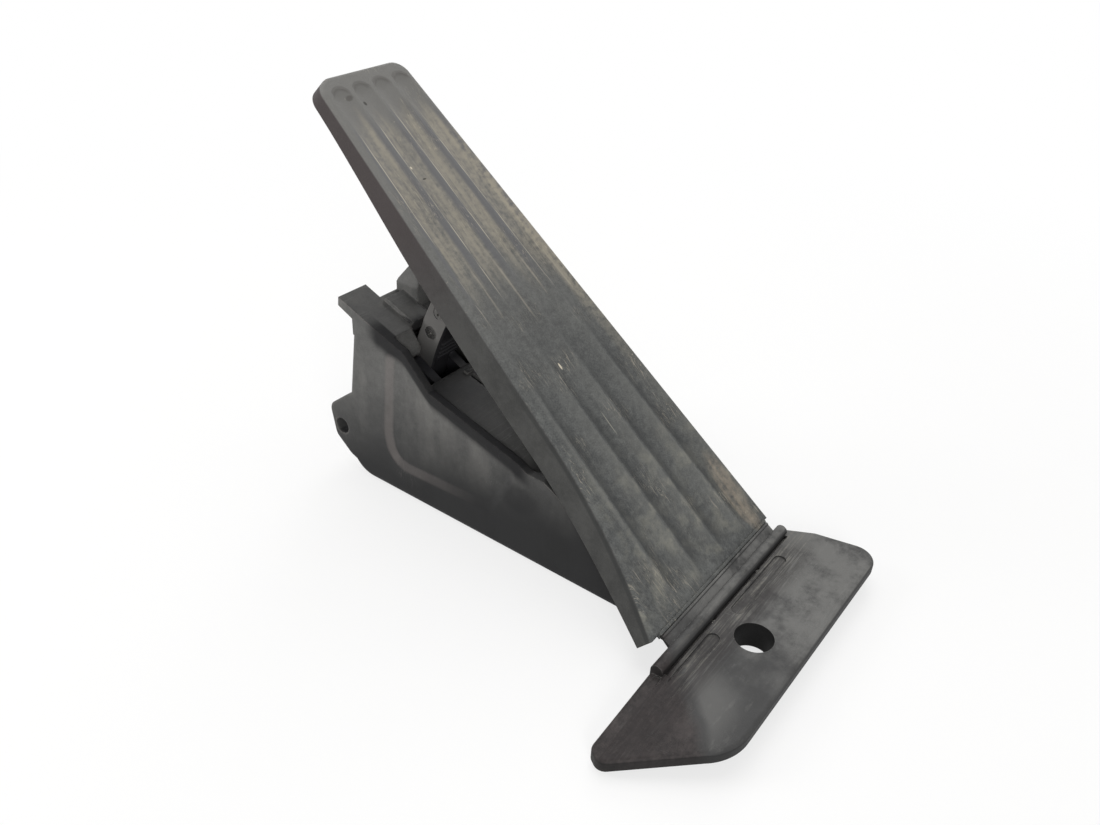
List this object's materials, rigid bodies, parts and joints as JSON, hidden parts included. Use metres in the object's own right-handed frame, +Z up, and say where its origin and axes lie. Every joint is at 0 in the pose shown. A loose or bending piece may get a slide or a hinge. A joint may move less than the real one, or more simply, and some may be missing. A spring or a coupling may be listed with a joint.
{
  "type": "accelerator pedal",
  "caption": "Floor-hinged accelerator pedal with a fluted pad on a film hinge, foot plate, push arm and a sprung sensor lever in a wedge-shaped housing.",
  "frame": {"origin": "centre of the foot plate's fixing hole, on the floor plane under the housing", "axes": "+X to the driver's right along the hinge line, +Y from the foot plate towards the bulkhead, +Z up"},
  "size_m": [0.1348, 0.2062, 0.1535],
  "materials": {
    "housing_plastic": "satin moulded charcoal plastic",
    "foot_plastic": "scuffed dark grey plastic",
    "pad_plastic": "worn dark grey plastic with dust in its flutes",
    "arm_plastic": "dark glass-filled plastic",
    "cover_plastic": "black moulded plastic",
    "lever_plastic": "dark acetal",
    "bush_plastic": "natural bearing plastic",
    "screw_steel": "zinc plated",
    "dark_screw": "blackened steel",
    "pin_steel": "ground steel",
    "spring_steel": "dark spring wire",
    "contact_metal": "tinned brass",
    "circuit_board": "solder-masked laminate",
    "chip_plastic": "moulded chip package",
    "seal_rubber": "soft seal",
    "stop_rubber": "moulded rubber",
    "magnet_metal": "sintered magnet"
  },
  "bodies": {
    "housing": {"housing": "housing_plastic", "base_plate": "housing_plastic", "base_screws": "screw_steel", "foot_plate": "foot_plastic", "toe_screws": "screw_steel", "bush_left": "bush_plastic", "bush_right": "bush_plastic", "sensor_board": "circuit_board", "sensor_chip": "chip_plastic", "sensor_cover": "cover_plastic", "sensor_seal": "seal_rubber", "cover_screws": "screw_steel", "connector_pins": "contact_metal", "outer_spring": "spring_steel", "inner_spring": "spring_steel", "stop_bumper": "stop_rubber"},
    "pedal": {"pedal_plate": "pad_plastic", "push_arm": "arm_plastic", "arm_pin": "pin_steel", "pin_clip": "spring_steel", "drive_pin": "pin_steel", "arm_screws": "dark_screw"},
    "lever": {"sensor_lever": "lever_plastic", "lever_shaft": "pin_steel", "magnet": "magnet_metal"}
  },
  "joints": [
    {"name": "pedal_hinge", "type": "hinge", "parent": "housing", "child": "pedal", "pos_m": [0.0145, 0.022, 0.0135], "axis": [-1, 0, 0], "range_deg": [0, 12], "stiffness_Nm_per_rad": 10, "springref_deg": -14.32},
    {"name": "lever_pivot", "type": "hinge", "parent": "housing", "child": "lever", "pos_m": [0.0145, 0.11781, 0.02662], "axis": [-1, 0, 0], "range_deg": [0, 40.14], "deforming": ["outer_spring", "inner_spring"]}
  ],
  "couplings": [
    {"joint": "lever_pivot", "follows": "pedal_hinge", "ratio": 3.3284}
  ]
}
